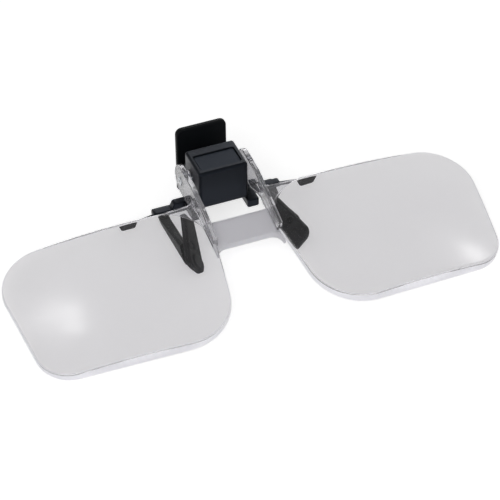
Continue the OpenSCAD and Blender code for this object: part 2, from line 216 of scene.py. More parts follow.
@dataclass(frozen=True)
class OpaqueFinish(Finish):
    """A moulded, drawn or polished surface with fine relief.

    The relief is noise on Object coordinates: grain is the size of one bump and drift is the size of the
    slow changes of gloss that handling leaves.
    """

    worn_colour: str
    roughness_spread: float
    grain_mm: float
    relief: float
    drift_mm: float = 6.0
    metallic: float = 0.0
    specular: float = 0.5
    stretch: Point3 = (1.0, 1.0, 1.0)
    sheen: str = "#ffffff"

    def shading(self, tree: Tree, place: Socket) -> dict[str, object]:
        """Gives the surface's tone, gloss and relief.

        Args:
            tree: the material's node tree.
            place: Object coordinates.

        Returns:
            The shader's inputs with their values or sockets.
        """
        stretched = add_node(tree, "ShaderNodeMapping", {"Vector": place, "Scale": self.stretch})
        grain = noise(tree, stretched.outputs["Vector"], self.grain_mm, 3.0)
        drift = noise(tree, place, self.drift_mm, 4.0)
        low, high = self.roughness - self.roughness_spread, self.roughness + self.roughness_spread
        span = {"Value": drift, "From Min": DRIFT_LOW, "From Max": DRIFT_HIGH, "To Min": low, "To Max": high}
        tones = {0: drift, 6: linear_colour(self.colour), 7: linear_colour(self.worn_colour)}
        return {
            "Base Color": add_node(tree, "ShaderNodeMix", tones, data_type="RGBA").outputs[2],
            "Roughness": add_node(tree, "ShaderNodeMapRange", span).outputs["Result"],
            "Normal": bump(tree, grain, self.relief),
            "Metallic": self.metallic,
            "Specular IOR Level": self.specular,
            "Specular Tint": linear_colour(self.sheen),
        }


@dataclass(frozen=True)
class ClearFinish(Finish):
    """Clear acrylic, with a fine grain where its mould isn't polished.

    Its flow in the mould leaves slow waves, too shallow to bend what is seen through them.
    """

    grain: float
    clearness: float = 1.0
    ior: float = 1.49
    wave_mm: float = 20.0
    wave_strength: float = 0.05
    grain_mm: float = 0.8

    def shading(self, tree: Tree, place: Socket) -> dict[str, object]:
        """Gives the acrylic's tint, clearness and relief.

        Args:
            tree: the material's node tree.
            place: Object coordinates.

        Returns:
            The shader's inputs with their values or sockets.
        """
        waves = bump(tree, noise(tree, place, self.wave_mm, 1.0), self.wave_strength)
        return {
            "Base Color": linear_colour(self.colour),
            "Roughness": self.roughness,
            "IOR": self.ior,
            "Transmission Weight": self.clearness,
            "Normal": bump(tree, noise(tree, place, self.grain_mm, 3.0), self.grain, Normal=waves),
        }


# Black ABS from a finely eroded mould: satin, with a soft blue-grey sheen where it faces the light
BLACK_ABS = OpaqueFinish(
    Slot.PLASTIC, "satin_black_abs", "#101113", 0.34, "#161719", 0.05, 0.12, 0.35, specular=0.26,
    sheen="#b4c6e8"
)
# The jaw's ABS is plainer and more matt than the block's; its darker black is painted shade, as the block
# shades the lever
LEVER_ABS_PAINTED_SHADE = OpaqueFinish(
    Slot.PLASTIC, "plain_black_abs", "#0e1012", 0.42, "#131518", 0.05, 0.14, 0.3, specular=0.08
)
# The cover panel's ABS has a finer grain and mirrors the light less than the block's; its lighter, bluer
# black is painted sheen of the block's top face
COVER_ABS_PAINTED_SHEEN = OpaqueFinish(
    Slot.PLASTIC, "fine_black_abs", "#161b22", 0.36, "#1d232b", 0.05, 0.10, 0.25, specular=0.17,
    sheen="#a8c0ec"
)
# Soft moulded elastomer: matt and dark, with faint dusty patches
SOFT_RUBBER = OpaqueFinish(
    Slot.RUBBER, "soft_black_rubber", "#101115", 0.66, "#16171b", 0.06, 0.25, 0.5, drift_mm=3.0, specular=0.3
)
# Drawn steel wire and pins: fine lines along X
DRAWN_STEEL = OpaqueFinish(
    Slot.STEEL, "drawn_steel", "#b4b7ba", 0.28, "#a6a9ad", 0.06, 0.06, 0.3, drift_mm=2.0, metallic=1.0,
    stretch=(0.08, 1, 1)
)
# Natural acetal, slightly waxy
ACETAL = OpaqueFinish(Slot.ACETAL, "natural_acetal", "#d8d6cc", 0.45, "#d2cfc4", 0.05, 0.2, 0.2)
# Lens faces: acrylic from a polished mould, which mirrors and shows the ground sharply
POLISHED_ACRYLIC = ClearFinish(Slot.ACRYLIC, "polished_clear_acrylic", "#f7f6f8", 0.02, 0.0)
# Walls of the lenses: the same acrylic, where the light that the lens gathers comes out
EDGE_ACRYLIC = ClearFinish(Slot.ACRYLIC, "edge_lit_acrylic", "#f5f4fa", 0.3, 0.05, 0.25)
# Arms, webs and rounded rims: the same acrylic, clear but not polished
SATIN_ACRYLIC = ClearFinish(Slot.ACRYLIC, "satin_clear_acrylic", "#f8f7fb", 0.05, 0.04, 0.86)
# Bridge: acrylic from a mould left as machined, which turns the light milky
FROSTED_ACRYLIC = ClearFinish(Slot.ACRYLIC, "frosted_clear_acrylic", "#f8f7fc", 0.28, 0.05, 0.5)
# The clear moulding's finishes, and their numbers in its mesh
CLEAR_FINISHES = (POLISHED_ACRYLIC, EDGE_ACRYLIC, SATIN_ACRYLIC, FROSTED_ACRYLIC)
POLISHED, EDGE, SATIN, FROSTED = range(len(CLEAR_FINISHES))


def arc(centre: Point2, radius: float, start: float, end: float, steps: int) -> list[Point2]:
    """Gives points along an arc."""
    turns = [math.radians(start + (end - start) * i / steps) for i in range(steps + 1)]
    return [(centre[0] + radius * math.cos(t), centre[1] + radius * math.sin(t)) for t in turns]


def disc(centre: Point2, radius: float, steps: int = 40) -> list[Point2]:
    """Gives a circle's points."""
    return arc(centre, radius, 0, 360, steps)[:-1]


@dataclass(frozen=True)
class Corner:
    """One round corner of an outline: its sharp corner point and its radius."""

    x: float
    y: float
    radius: float


class RoundOutline:
    """A closed outline of straight sides and round corners, given in turn anticlockwise."""

    def __init__(self, corners: Sequence[Corner], arc_steps: int = 8, side_steps: int = 1) -> None:
        """Works out each corner's arc.

        Args:
            corners: the corners in turn.
            arc_steps: number of steps on each arc.
            side_steps: number of steps on each straight side.
        """
        self.arc_steps, self.side_steps = arc_steps, side_steps
        self.arcs: list[tuple[Vector, float, float, float]] = []
        spots = [Vector((corner.x, corner.y)) for corner in corners]
        for i, (here, corner) in enumerate(zip(spots, corners)):
            into = (here - spots[i - 1]).normalized()
            out = (spots[(i + 1) % len(spots)] - here).normalized()
            turn = math.atan2(into.x * out.y - into.y * out.x, into.dot(out))
            reach = corner.radius * math.tan(abs(turn) / 2)
            normal = Vector((-into.y, into.x)) * (1 if turn > 0 else -1)
            centre = here - into * reach + normal * corner.radius
            self.arcs.append((centre, corner.radius, math.atan2(-normal.y, -normal.x), turn))

    def points(self, inset: float = 0.0) -> list[Point2]:
        """Gives the outline's points, drawn in by a constant distance.

        Args:
            inset: distance to the outline itself, inwards.

        Returns:
            The points, the same number for each inset.
        """
        rounds: list[list[Vector]] = []
        for centre, radius, start, turn in self.arcs:
            size = radius - inset if turn > 0 else radius + inset
            steps = [start + turn * k / self.arc_steps for k in range(self.arc_steps + 1)]
            rounds.append([centre + Vector((math.cos(t), math.sin(t))) * size for t in steps])
        rim: list[Vector] = []
        shares = [k / self.side_steps for k in range(1, self.side_steps)]
        for turned, following in zip(rounds, rounds[1:] + rounds[:1]):
            rim += turned + [turned[-1].lerp(following[0], share) for share in shares]
        return [(p.x, p.y) for p in rim]


def rectangle(x: Point2, y: Point2, radius: float, steps: int,
              high_radius: float | None = None) -> RoundOutline:
    """Gives a rectangle with round corners.

    Args:
        x: its first and last X.
        y: its first and last Y.
        radius: radius of its corners.
        steps: number of steps of each corner.
        high_radius: radius of the two corners at the last Y, where it differs.

    Returns:
        The outline.
    """
    high = radius if high_radius is None else high_radius
    corners = [Corner(x[0], y[0], radius), Corner(x[1], y[0], radius)]
    return RoundOutline([*corners, Corner(x[1], y[1], high), Corner(x[0], y[1], high)], steps)


class DiscHull:
    """The outline of a thread pulled tight round some discs."""

    def __init__(self, discs: Sequence[tuple[float, float, float]], steps: int) -> None:
        """Finds the disc that each direction meets last.

        Args:
            discs: centre and radius of each disc.
            steps: number of points of the outline.
        """
        turns = [2 * math.pi * (k + 0.5) / steps for k in range(steps)]
        self.ways = [(math.cos(t), math.sin(t)) for t in turns]
        self.discs = [max(discs, key=lambda d: d[0] * x + d[1] * y + d[2]) for x, y in self.ways]

    def points(self, inset: float = 0.0) -> list[Point2]:
        """Gives the outline's points, drawn in by a constant distance."""
        pairs = zip(self.ways, self.discs)
        return [(cx + (radius - inset) * x, cy + (radius - inset) * y) for (x, y), (cx, cy, radius) in pairs]


@dataclass(frozen=True)
class Disc:
    """A disc with rounded rims, from which hulls are made."""

    place: Matrix
    radius: float
    low: float
    high: float
    rounding: float
    steps: int = 32

    def points(self) -> list[Vector]:
        """Gives points on the disc's skin.

        Returns:
            The points in the frame.
        """
        made = []
        for degrees in (0, 30, 60, 90):
            turn = math.radians(degrees)
            size = self.radius - self.rounding * (1 - math.sin(turn))
            lift = self.rounding * (1 - math.cos(turn))
            for x, y in DiscHull([(0.0, 0.0, size)], self.steps).points():
                made += [self.place @ Vector((x, y, z)) for z in (self.low + lift, self.high - lift)]
        return made


class MeshMaker:
    """Builds one closed mesh, in millimetres."""

    def __init__(self) -> None:
        """Starts an empty mesh."""
        self.bm = bmesh.new()

    def loft(self, rings: Sequence[Sequence[Point3]], *poles: Point3) -> "MeshMaker":
        """Joins closed rings of equal counts into a skin.

        Args:
            rings: the rings in turn.
            poles: points that close the first and the last ring, or flat faces close them.

        Returns:
            This maker.
        """
        made = [[self.bm.verts.new(p) for p in ring] for ring in rings]
        for low, high in zip(made, made[1:]):
            self.skirt(low, high)
        for ring, pole, first in zip((made[0], made[-1]), poles or (None, None), (True, False)):
            if pole is None:
                self.bm.faces.new(ring[::-1] if first else ring)
                continue
            tip = self.bm.verts.new(pole)
            for here, after in zip(ring, ring[1:] + ring[:1]):
                self.bm.faces.new((after, here, tip) if first else (here, after, tip))
        return self

    def skirt(self, low: list[bmesh.types.BMVert], high: list[bmesh.types.BMVert]) -> None:
        """Joins two rings of points by a band of faces."""
        for a, b, c, d in zip(low, low[1:] + low[:1], high[1:] + high[:1], high):
            self.bm.faces.new((a, b, c, d))

    def prism(self, outline: Sequence[Point2], low: float, high: float, bevel: float = 0.0,
              steps: int = 3, sharp: float = 28.0) -> "MeshMaker":
        """Adds an extruded outline whose sharp edges are rounded.

        Args:
            outline: its points in turn.
            low: where it starts along Z.
            high: where it ends along Z.
            bevel: size of the rounding.
            steps: number of steps of that rounding.
            sharp: least angle in degrees that counts as sharp.

        Returns:
            This maker.
        """
        base, top = [[self.bm.verts.new((x, y, z)) for x, y in outline] for z in (low, high)]
        self.bm.faces.new(base[::-1])
        self.bm.faces.new(top)
        self.skirt(base, top)
        if bevel:
            self.bm.normal_update()
            least = math.radians(sharp)
            edges = [e for e in self.bm.edges if e.is_manifold and e.calc_face_angle(0.0) > least]
            shape = {"segments": steps, "profile": 0.5, "affect": "EDGES", "clamp_overlap": True}
            bmesh.ops.bevel(self.bm, geom=edges, offset=bevel, **shape)
        return self

    def slab(self, outline: RoundOutline | DiscHull, low: float, high: float, rounding: float,
             steps: int = 4) -> "MeshMaker":
        """Adds an extruded outline whose two rims are evenly rounded.

        Args:
            outline: its outline.
            low: where it starts along Z.
            high: where it ends along Z.
            rounding: radius of its rims.
            steps: number of steps of that radius.

        Returns:
            This maker.
        """
        rings: list[list[Point3]] = []
        for k in range(steps + 1):
            turn = math.radians(90 * k / steps)
            rim = outline.points(rounding * (1 - math.sin(turn)))
            rings.append([(x, y, low + rounding * (1 - math.cos(turn))) for x, y in rim])
        return self.loft(rings + [[(x, y, low + high - z) for x, y, z in ring] for ring in rings[::-1]])

    def hull(self, *discs: Disc) -> "MeshMaker":
        """Adds the convex hull of round-rimmed discs.

        Args:
            discs: the discs.

        Returns:
            This maker.
        """
        for one in discs:
            for point in one.points():
                self.bm.verts.new(point)
        made = bmesh.ops.convex_hull(self.bm, input=self.bm.verts)
        loose = [v for v in made["geom_interior"] if isinstance(v, bmesh.types.BMVert)]
        bmesh.ops.delete(self.bm, geom=loose, context="VERTS")
        return self

    def mesh(self, place: Matrix = FLAT) -> Mesh:
        """Turns what was built into a mesh in metres, with normals outwards.

        Args:
            place: matrix that puts it in the frame, in millimetres.

        Returns:
            The mesh.
        """
        self.bm.transform(place)
        bmesh.ops.remove_doubles(self.bm, verts=self.bm.verts, dist=WELD)
        bmesh.ops.recalc_face_normals(self.bm, faces=self.bm.faces)
        self.bm.transform(Matrix.Scale(MM, 4))
        made = bpy.data.meshes.new("form")
        self.bm.to_mesh(made)
        self.bm.free()
        return made


def mirrored(mesh: Mesh) -> Mesh:
    """Gives a mesh's mirror image at the other side of X = 0.

    Args:
        mesh: the mesh, which stays as it is.

    Returns:
        The mirror image.
    """
    copy = mesh.copy()
    copy.transform(Matrix.Scale(-1, 4, (1, 0, 0)))
    copy.flip_normals()
    return copy


def linked(mesh: Mesh) -> bpy.types.Object:
    """Puts a mesh in the scene.

    Args:
        mesh: the mesh.

    Returns:
        Its object, of the same name.
    """
    made = bpy.data.objects.new(mesh.name, mesh)
    bpy.context.scene.collection.objects.link(made)
    return made


def evaluated(held: bpy.types.Object, *others: bpy.types.Object) -> Mesh:
    """Works out an object's modifiers and removes it from the scene.

    Args:
        held: the object.
        others: further objects that are no longer needed.

    Returns:
        The resulting mesh.
    """
    bpy.context.view_layer.update()
    made = bpy.data.meshes.new_from_object(held.evaluated_get(bpy.context.evaluated_depsgraph_get()))
    for obj in (held, *others):
        bpy.data.objects.remove(obj)
    return made


def boolean(first: Mesh, others: Iterable[Mesh], operation: str) -> Mesh:
    """Joins or cuts meshes exactly.

    Args:
        first: the mesh to start from.
        others: the meshes to join to it or cut from it.
        operation: UNION or DIFFERENCE.

    Returns:
        The resulting mesh.
    """
    base, tools = linked(first), [linked(mesh) for mesh in others]
    for tool in tools:
        step = base.modifiers.new("join", "BOOLEAN")
        step.operation, step.solver, step.object = operation, "EXACT", tool
    return evaluated(base, *tools)


def smooth(mesh: Mesh, sharp: float) -> Mesh:
    """Shades a mesh smooth, with its large faces kept flat and its sharp edges left sharp.

    Args:
        mesh: the mesh.
        sharp: least angle in degrees of an edge that stays sharp.

    Returns:
        The shaded mesh.
    """
    mesh.shade_smooth()
    mesh.set_sharp_from_angle(angle=math.radians(sharp))
    held = linked(mesh)
    step = held.modifiers.new("weighted", "WEIGHTED_NORMAL")
    step.mode, step.keep_sharp = "FACE_AREA_WITH_ANGLE", True
    return evaluated(held)


def piece(name: str, mesh: Mesh, body: Body | tuple[Body, Body, Point3, Point3], finish: Finish, node: str,
          sharp: float = 34.0, dressed: bool = False) -> None:
    """Makes a finished piece that stands for a CAD node and rides on its body.

    Args:
        name: the piece's name.
        mesh: its mesh, in place.
        body: the body it rides on, or two bodies and two places in millimetres, which leave it unattached
            where it stands.
        finish: its finish, whose slot is the record's.
        node: the CAD node that it replaces.
        sharp: least angle in degrees of an edge that stays sharp.
        dressed: whether the mesh has its own materials, which it keeps.
    """
    mesh = smooth(mesh, sharp)
    mesh.name = name
    made = linked(mesh)
    if not dressed:
        mesh.materials.clear()
        mesh.materials.append(finish.material())
    if isinstance(body, Body):
        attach(made, body.value)
    else:
        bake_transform(made)
    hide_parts(node)
    LOG.info("%s: %d faces", name, len(mesh.polygons))


def pair(name: str, mesh: Mesh, body: Body, finish: Finish, node: str, sharp: float = 34.0) -> None:
    """Makes the right piece and the left piece of a mirrored pair."""
    for side, shape in (("right", mesh), ("left", mirrored(mesh))):
        piece(f"{name}_{side}", shape, body, finish, f"{node}_{side}", sharp)


class Growth:
    """A geometry node group with a geometry input, further inputs and one output."""

    def __init__(self, name: str, inputs: dict[str, str]) -> None:
        """Starts the group.

        Args:
            name: its name.
            inputs: its further inputs, each with its kind.
        """
        self.tree = bpy.data.node_groups.new(name, "GeometryNodeTree")
        for label, kind in {"Geometry": "Geometry", **inputs}.items():
            self.tree.interface.new_socket(label, in_out="INPUT", socket_type="NodeSocket" + kind)
        self.tree.interface.new_socket("Geometry", in_out="OUTPUT", socket_type="NodeSocketGeometry")
        self.given = add_node(self.tree, "NodeGroupInput").outputs

    def node(self, kind: str, links: dict, **settings: object) -> Socket:
        """Adds one node."""
        return add_node(self.tree, "GeometryNode" + kind, links, **settings).outputs[0]

    def run(self, shape: Socket, base: Mesh, values: dict[str, object]) -> Mesh:
        """Gives a shape the Material that comes in, runs the group and keeps what comes out.

        Args:
            shape: the shape.
            base: the mesh that goes in.
            values: values of the inputs by name.

        Returns:
            The resulting mesh.
        """
        dressed = self.node("SetMaterial", {"Geometry": shape, "Material": self.given["Material"]})
        add_node(self.tree, "NodeGroupOutput", {0: dressed})
        held = linked(base)
        modifier = held.modifiers.new("grow", "NODES")
        modifier.node_group = self.tree
        sockets = {s.name: s.identifier for s in self.tree.interface.items_tree if s.in_out == "INPUT"}
        for name, value in values.items():
            modifier[sockets[name]] = value
        return evaluated(held)


def sweep(name: str, path: Sequence[Point3], radius: float, finish: Finish, sides: int = 14) -> Mesh:
    """Sweeps a round wire along a path.

    Args:
        name: the wire's name.
        path: its path in millimetres.
        radius: its radius in millimetres.
        finish: its finish.
        sides: number of its sides.

    Returns:
        The wire's mesh, with flat ends.
    """
    line = bpy.data.meshes.new(name + "_path")
    line.from_pydata([Vector(p) * MM for p in path], [(i, i + 1) for i in range(len(path) - 1)], [])
    growth = Growth(name, {"Radius": "Float", "Material": "Material"})
    curve = growth.node("MeshToCurve", {"Mesh": growth.given["Geometry"]})
    size = {"Resolution": sides, "Radius": growth.given["Radius"]}
    ring = growth.node("CurvePrimitiveCircle", size, mode="RADIUS")
    tube = growth.node("CurveToMesh", {"Curve": curve, "Profile Curve": ring, "Fill Caps": True})
    return growth.run(tube, line, {"Radius": radius * MM, "Material": finish.material()})


def repeat(name: str, mesh: Mesh, start: Point3, step: Point3, count: int, finish: Finish) -> Mesh:
    """Sets copies of a mesh out in a row.

    Args:
        name: the row's name.
        mesh: the mesh that is repeated.
        start: place of the first copy in millimetres.
        step: way from one copy to the next in millimetres.
        count: number of copies.
        finish: their finish.

    Returns:
        The row as one mesh.
    """
    source = bpy.data.objects.new(name + "_source", mesh)
    kinds = {"Source": "Object", "Count": "Int", "Start": "Vector", "Step": "Vector", "Material": "Material"}
    growth = Growth(name, kinds)
    given = growth.given
    places = {"Count": given["Count"], "Start Location": given["Start"], "Offset": given["Step"]}
    row = growth.node("MeshLine", places, mode="OFFSET")
    shape = add_node(growth.tree, "GeometryNodeObjectInfo", {"Object": given["Source"]}).outputs["Geometry"]
    placed = growth.node("InstanceOnPoints", {"Points": row, "Instance": shape})
    real = growth.node("RealizeInstances", {"Geometry": placed})
    values = {"Source": source, "Count": count, "Material": finish.material()}
    values |= {"Start": tuple(Vector(start) * MM), "Step": tuple(Vector(step) * MM)}
    made = growth.run(real, bpy.data.meshes.new(name), values)
    bpy.data.objects.remove(source)
    return made


@dataclass
class ClearMoulding:
    """The two lenses, the bridge and the hinge arms, in one clear piece.

    Its plate is the plane of the bridge, in which Y goes up the lenses. The corners of a lens are the
    inner top one, the inner bottom one, the outer bottom one and the outer top one.
    """

    tilt: float = 13.9
    wrap: float = 3.9
    thickness: float = 4.0
    decentre: float = 5.5
    radius: float = 146.0
    gap: float = 12.0
    top_width: float = 55.0
    bottom_width: float = 45.7
    inner_height: float = 39.1
    outer_height: float = 36.8
    outer_rise: float = 0.4
    lean: float = 5.6
    rise: float = 6.1
    corner_radii: tuple[float, ...] = (11.5, 13.0, 8.6, 11.5)
    outline_steps: int = 28
    rim_radius: float = 0.45
    rim_share: float = 0.42
    rim_steps: int = 4
    back_shares: tuple[float, ...] = (0.25, 0.5, 0.75, 1.0)
    wall_shares: tuple[float, ...] = (0.33, 0.67, 1.0)
    rings: int = 40
    polished_normal: float = 0.95
    rim_normal: float = 0.3
    bridge_height: float = 7.2
    bridge_thickness: float = 2.0
    bridge_low: float = -2.3
    bridge_reach: float = 15.0
    bridge_fillet: float = 2.6
    bridge_edge: float = 0.35
    fillet_out: float = 0.7
    fillet_steps: int = 12
    arm_inner: float = 7.5
    arm_thickness: float = 1.3
    arm_edge: float = 0.25
    arm_top: float = 3.0
    arm_crown: Point2 = (0.6, 0.35)
    arm_fall: float = 0.8
    arm_lap: Point2 = (0.3, 0.2)
    arm_knees: tuple[Point2, ...] = ((4.0, -1.2), (6.5, -2.4))
    neck: Point2 = (5.0, 3.0)
    head_radius: float = 3.9
    head_span: Point2 = (-110, 90)
    boss_radius: float = 2.1
    boss_span: Point2 = (-1.15, 0.5)
    boss_edge: float = 0.2
    web_radius: float = 2.0
    web_low: float = 0.1
    web_thickness: float = 0.8
    web_lap: float = 0.6
    web_edge: float = 0.15
    bore_fit: float = 0.01

    def __post_init__(self) -> None:
        """Works out the lens's corners and where its plate stands."""
        top_in = (self.gap / 2, self.rise)
        top_out = (top_in[0] + self.top_width, self.rise + self.outer_rise)
        bottom_in = (top_in[0] + self.lean, self.rise - self.inner_height)
        bottom_out = (bottom_in[0] + self.bottom_width, top_out[1] - self.outer_height)
        spots = (top_in, bottom_in, bottom_out, top_out)
        corners = [Corner(*spot, radius) for spot, radius in zip(spots, self.corner_radii)]
        self.outline = RoundOutline(corners, self.outline_steps, self.outline_steps)
        self.middle = Vector([sum(values) / len(spots) for values in zip(*spots)])
        self.axle, self.axle_radius, self.axle_half = cad_rod("flip_axle")
        tilt, wrap = math.radians(self.tilt), math.radians(self.wrap)
        fall = Vector((-math.sin(wrap) * math.cos(tilt), math.sin(tilt)))
        # The outer bottom corner touches the table
        centre, size = self.outline.arcs[2][:2]
        place = (0, self.axle.y - self.bridge_reach, size * fall.length - centre.dot(fall))
        self.plate = Matrix.Translation(place) @ Matrix.Rotation(tilt, 4, "X")
        self.wrapped = self.plate @ Matrix.Rotation(wrap, 4, "Y")
        head = self.plate.inverted() @ self.axle
        self.head = (head.y, head.z)
        self.arm_outer = self.arm_inner + self.arm_thickness

    def front_height(self, x: float, y: float) -> float:
        """Gives the height of the convex front over the flat back at a point of the lens."""
        away = (Vector((x, y)) - self.middle + Vector((0, self.decentre))).length
        return self.thickness - self.radius + math.sqrt(self.radius**2 - away**2)

    def lens(self) -> Mesh:
        """Builds the right lens, with rounded rims.

        Returns:
            The lens in the frame's place.
        """
        side = [Vector(p) for p in self.outline.points()]
        ways = [Vector(q) - p for p, q in zip(side, self.outline.points(1.0))]
        tops = [self.front_height(*p) for p in side]
        rims = [min(self.rim_radius, self.rim_share * top) for top in tops]

        def drawn_in(share: float) -> list[Point2]:
            """Gives the outline drawn in by a share of the rim's radius at each point."""
            return [tuple(p + way * rim * share) for p, way, rim in zip(side, ways, rims)]

        inner = drawn_in(1.0)
        quarter = [math.radians(90 * k / self.rim_steps) for k in range(1, self.rim_steps + 1)]
        rings = [[(*self.middle.lerp(Vector(p), share), 0.0) for p in inner] for share in self.back_shares]
        for turn in quarter:
            lift = 1 - math.cos(turn)
            rings.append([(x, y, rim * lift) for (x, y), rim in zip(drawn_in(1 - math.sin(turn)), rims)])
        for share in self.wall_shares:
            rings.append([(*p, rim + (top - 2 * rim) * share) for p, rim, top in zip(side, rims, tops)])
        for turn in quarter:
            ring = []
            for (x, y), rim, top in zip(drawn_in(1 - math.cos(turn)), rims, tops):
                ring.append((x, y, top - rim + (rim + self.front_height(x, y) - top) * math.sin(turn)))
            rings.append(ring)
        for k in range(1, self.rings):
            spots = [self.middle.lerp(Vector(p), 1 - k / self.rings) for p in inner]
            rings.append([(p.x, p.y, self.front_height(p.x, p.y)) for p in spots])
        maker = MeshMaker().loft(rings, (*self.middle, 0.0), (*self.middle, self.front_height(*self.middle)))
        maker.bm.normal_update()
        for face in maker.bm.faces:
            level = abs(face.normal.z)
            number = SATIN if level > self.rim_normal else EDGE
            face.material_index = POLISHED if level > self.polished_normal else number
        return maker.mesh(self.wrapped)

    def arm_outline(self) -> list[Point2]:
        """Gives the arm's side view on the plate: distance up the plate, height off it."""
        v, n = self.head
        foot, low = -self.bridge_height + self.arm_lap[0], self.bridge_low + self.arm_lap[1]
        top = self.arm_top
        upper = [(v * self.arm_crown[0], top + self.arm_crown[1]), (0.0, top), (foot, top - self.arm_fall)]
        lower = [(foot, low), *self.arm_knees, (v - self.neck[0], n - self.neck[1])]
        return arc((v, n), self.head_radius, *self.head_span, 24) + upper + lower

    def arms(self) -> list[Mesh]:
        """Builds the right arm's strap, boss and web as meshes to be joined.

        Returns:
            The meshes.
        """
        strap = MeshMaker().prism(self.arm_outline(), self.arm_inner, self.arm_outer, self.arm_edge)
        low, high = (self.arm_inner + end for end in self.boss_span)
        boss = MeshMaker().prism(disc(self.head, self.boss_radius), low, high, self.boss_edge)
        r, top = self.web_radius, self.rise + self.web_radius
        root = self.arm_outer - self.arm_thickness / 2
        centre = self.outline.arcs[0][0]
        outline = arc(centre, self.corner_radii[0] - self.web_lap, 180, 90, 24) + [(centre.x, self.rise)]
        outline += arc((self.arm_outer + r, top), r, -90, -180, 16) + [(root, top), (root, centre.y)]
        web = MeshMaker().prism(outline, self.web_low, self.web_low + self.web_thickness, self.web_edge)
        return [strap.mesh(self.plate @ SIDE), boss.mesh(self.plate @ SIDE), web.mesh(self.wrapped)]

    def bridge(self) -> Mesh:
        """Builds the bridge with its fillets.

        Returns:
            The bridge.
        """
        half, r = self.arm_outer, self.bridge_fillet
        low, inner = -self.bridge_height - r, self.arm_inner + self.fillet_out
        outline = [(-half, 0.0), (-half, low), (-inner, low)]
        outline += arc((-inner + r, low), r, 180, 90, self.fillet_steps)
        outline += arc((inner - r, low), r, 90, 0, self.fillet_steps) + [(half, low), (half, 0.0)]
        top = self.bridge_low + self.bridge_thickness
        return MeshMaker().prism(outline, self.bridge_low, top, self.bridge_edge, 4).mesh(self.plate)

    def build(self) -> None:
        """Joins lenses, bridge and arms, and drills the axle's hole."""
        lens, fittings, bridge = self.lens(), self.arms(), self.bridge()
        for mesh in (lens, *fittings, bridge):
            for finish in CLEAR_FINISHES:
                mesh.materials.append(finish.material())
        for mesh, number in (*((fitting, SATIN) for fitting in fittings), (bridge, FROSTED)):
            mesh.polygons.foreach_set("material_index", [number] * len(mesh.polygons))
        right = [lens, *fittings]
        joined = boolean(bridge, [*right, *(mirrored(mesh) for mesh in right)], "UNION")
        outline = disc((self.axle.y, self.axle.z), self.axle_radius + self.bore_fit, 48)
        hole = MeshMaker().prism(outline, -self.axle_half - 1, self.axle_half + 1)
        whole = boolean(joined, [hole.mesh(SIDE)], "DIFFERENCE")
        piece("clear_moulding", whole, Body.LENSES, POLISHED_ACRYLIC, "lens_moulding", 30, dressed=True)


